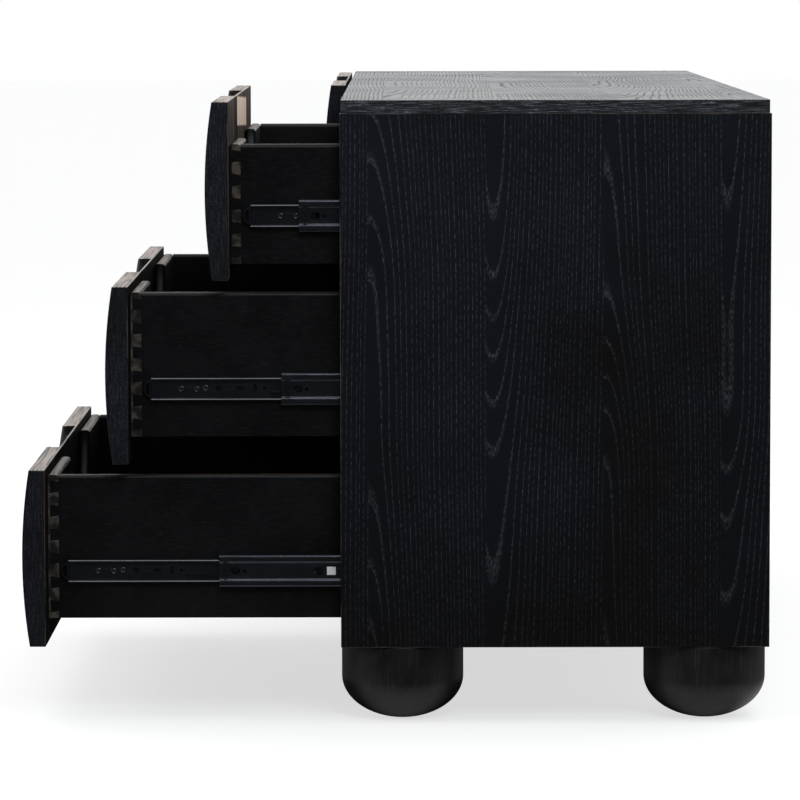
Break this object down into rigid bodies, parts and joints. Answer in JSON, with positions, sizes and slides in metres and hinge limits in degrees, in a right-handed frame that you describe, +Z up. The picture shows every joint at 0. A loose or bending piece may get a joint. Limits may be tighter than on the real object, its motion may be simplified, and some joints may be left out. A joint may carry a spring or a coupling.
{
  "type": "chest of drawers",
  "caption": "Low black chest with two columns of bowed drawer fronts, half-moon finger pulls, dovetailed boxes on ball-bearing slides, and round bubble feet.",
  "frame": {"origin": "on the floor, at the centre of the footprint of the whole chest with its right drawers open as modelled", "axes": "+X to the right as seen from in front, +Y towards the back, +Z up; the drawers open towards -Y"},
  "size_m": [1.5, 0.79, 0.66],
  "materials": {
    "ebonised_ash": "black stained open-grain ash veneer, satin",
    "drawer_box_wood": "smooth satin black lacquered wood",
    "foot_wood": "turned wood, satin black",
    "back_board": "black painted board, matt",
    "slide_steel": "black electro-coated steel",
    "latch_plastic": "black moulded plastic",
    "screw_steel": "zinc-plated steel"
  },
  "bodies": {
    "carcass": {"top_panel": "ebonised_ash", "right_side_panel": "ebonised_ash", "left_side_panel": "ebonised_ash", "centre_divider": "ebonised_ash", "bottom_panel": "ebonised_ash", "back_panel": "back_board", "foot_front_right": "foot_wood", "foot_front_left": "foot_wood", "foot_rear_right": "foot_wood", "foot_rear_left": "foot_wood", "right_lower_case_rail_outer": "slide_steel", "right_lower_case_rail_inner": "slide_steel", "right_middle_case_rail_outer": "slide_steel", "right_middle_case_rail_inner": "slide_steel", "right_upper_case_rail_outer": "slide_steel", "right_upper_case_rail_inner": "slide_steel"},
    "right_lower_drawer": {"right_lower_front": "ebonised_ash", "right_lower_box_front": "drawer_box_wood", "right_lower_side_outer": "drawer_box_wood", "right_lower_side_inner": "drawer_box_wood", "right_lower_box_back": "drawer_box_wood", "right_lower_box_bottom": "drawer_box_wood", "right_lower_drawer_rail_outer": "slide_steel", "right_lower_drawer_rail_inner": "slide_steel"},
    "right_lower_runner": {"right_lower_runner_outer": "slide_steel", "right_lower_runner_inner": "slide_steel"},
    "right_middle_drawer": {"right_middle_front": "ebonised_ash", "right_middle_box_front": "drawer_box_wood", "right_middle_side_outer": "drawer_box_wood", "right_middle_side_inner": "drawer_box_wood", "right_middle_box_back": "drawer_box_wood", "right_middle_box_bottom": "drawer_box_wood", "right_middle_drawer_rail_outer": "slide_steel", "right_middle_drawer_rail_inner": "slide_steel"},
    "right_middle_runner": {"right_middle_runner_outer": "slide_steel", "right_middle_runner_inner": "slide_steel"},
    "right_upper_drawer": {"right_upper_front": "ebonised_ash", "right_upper_box_front": "drawer_box_wood", "right_upper_side_outer": "drawer_box_wood", "right_upper_side_inner": "drawer_box_wood", "right_upper_box_back": "drawer_box_wood", "right_upper_box_bottom": "drawer_box_wood", "right_upper_drawer_rail_outer": "slide_steel", "right_upper_drawer_rail_inner": "slide_steel"},
    "right_upper_runner": {"right_upper_runner_outer": "slide_steel", "right_upper_runner_inner": "slide_steel"},
    "left_lower_drawer": {"left_lower_front": "ebonised_ash", "left_lower_box": "drawer_box_wood", "left_lower_drawer_rail_outer": "slide_steel"},
    "left_lower_runner": {"left_lower_runner_outer": "slide_steel"},
    "left_middle_drawer": {"left_middle_front": "ebonised_ash", "left_middle_box": "drawer_box_wood", "left_middle_drawer_rail_outer": "slide_steel"},
    "left_middle_runner": {"left_middle_runner_outer": "slide_steel"},
    "left_upper_drawer": {"left_upper_front": "ebonised_ash", "left_upper_box": "drawer_box_wood", "left_upper_drawer_rail_outer": "slide_steel"},
    "left_upper_runner": {"left_upper_runner_outer": "slide_steel"}
  },
  "joints": [
    {"name": "right_lower_drawer_slide", "type": "slide", "parent": "carcass", "child": "right_lower_drawer", "axis": [0, -1, 0], "range_m": [-0.3084, 0.0816]},
    {"name": "right_lower_runner_slide", "type": "slide", "parent": "carcass", "child": "right_lower_runner", "axis": [0, -1, 0], "range_m": [-0.1542, 0.0408]},
    {"name": "right_middle_drawer_slide", "type": "slide", "parent": "carcass", "child": "right_middle_drawer", "axis": [0, -1, 0], "range_m": [-0.2193, 0.1707]},
    {"name": "right_middle_runner_slide", "type": "slide", "parent": "carcass", "child": "right_middle_runner", "axis": [0, -1, 0], "range_m": [-0.10965, 0.08535]},
    {"name": "right_upper_drawer_slide", "type": "slide", "parent": "carcass", "child": "right_upper_drawer", "axis": [0, -1, 0], "range_m": [-0.1134, 0.2766]},
    {"name": "right_upper_runner_slide", "type": "slide", "parent": "carcass", "child": "right_upper_runner", "axis": [0, -1, 0], "range_m": [-0.0567, 0.1383]},
    {"name": "left_lower_drawer_slide", "type": "slide", "parent": "carcass", "child": "left_lower_drawer", "axis": [0, -1, 0], "range_m": [0, 0.39]},
    {"name": "left_lower_runner_slide", "type": "slide", "parent": "carcass", "child": "left_lower_runner", "axis": [0, -1, 0], "range_m": [0, 0.195]},
    {"name": "left_middle_drawer_slide", "type": "slide", "parent": "carcass", "child": "left_middle_drawer", "axis": [0, -1, 0], "range_m": [0, 0.39]},
    {"name": "left_middle_runner_slide", "type": "slide", "parent": "carcass", "child": "left_middle_runner", "axis": [0, -1, 0], "range_m": [0, 0.195]},
    {"name": "left_upper_drawer_slide", "type": "slide", "parent": "carcass", "child": "left_upper_drawer", "axis": [0, -1, 0], "range_m": [0, 0.39]},
    {"name": "left_upper_runner_slide", "type": "slide", "parent": "carcass", "child": "left_upper_runner", "axis": [0, -1, 0], "range_m": [0, 0.195]}
  ],
  "couplings": [
    {"joint": "right_lower_runner_slide", "follows": "right_lower_drawer_slide", "ratio": 0.5},
    {"joint": "right_middle_runner_slide", "follows": "right_middle_drawer_slide", "ratio": 0.5},
    {"joint": "right_upper_runner_slide", "follows": "right_upper_drawer_slide", "ratio": 0.5},
    {"joint": "left_lower_runner_slide", "follows": "left_lower_drawer_slide", "ratio": 0.5},
    {"joint": "left_middle_runner_slide", "follows": "left_middle_drawer_slide", "ratio": 0.5},
    {"joint": "left_upper_runner_slide", "follows": "left_upper_drawer_slide", "ratio": 0.5}
  ]
}
